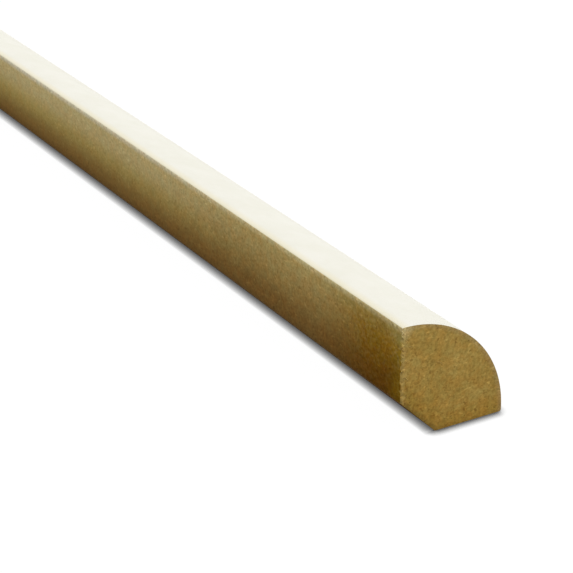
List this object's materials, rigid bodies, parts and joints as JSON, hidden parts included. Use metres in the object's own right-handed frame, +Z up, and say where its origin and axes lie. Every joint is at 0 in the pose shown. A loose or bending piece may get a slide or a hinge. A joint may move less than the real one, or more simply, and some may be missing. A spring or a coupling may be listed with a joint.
{
  "type": "quarter round moulding",
  "caption": "Long quarter round trim moulding of fibreboard, primed on its convex face, with a chamfered back corner, for covering the joint between a floor and a wall.",
  "frame": {"origin": "middle of the rectangle that the moulding covers on the floor plane it lies on", "axes": "+X along the length, +Y towards the wall that the back face fits against, +Z up from the floor; the convex face looks towards -Y and up"},
  "size_m": [2.4, 0.018, 0.018],
  "materials": {
    "fibreboard": "matte"
  },
  "bodies": {
    "root": {"quarter_round_moulding": "fibreboard"}
  },
  "joints": []
}
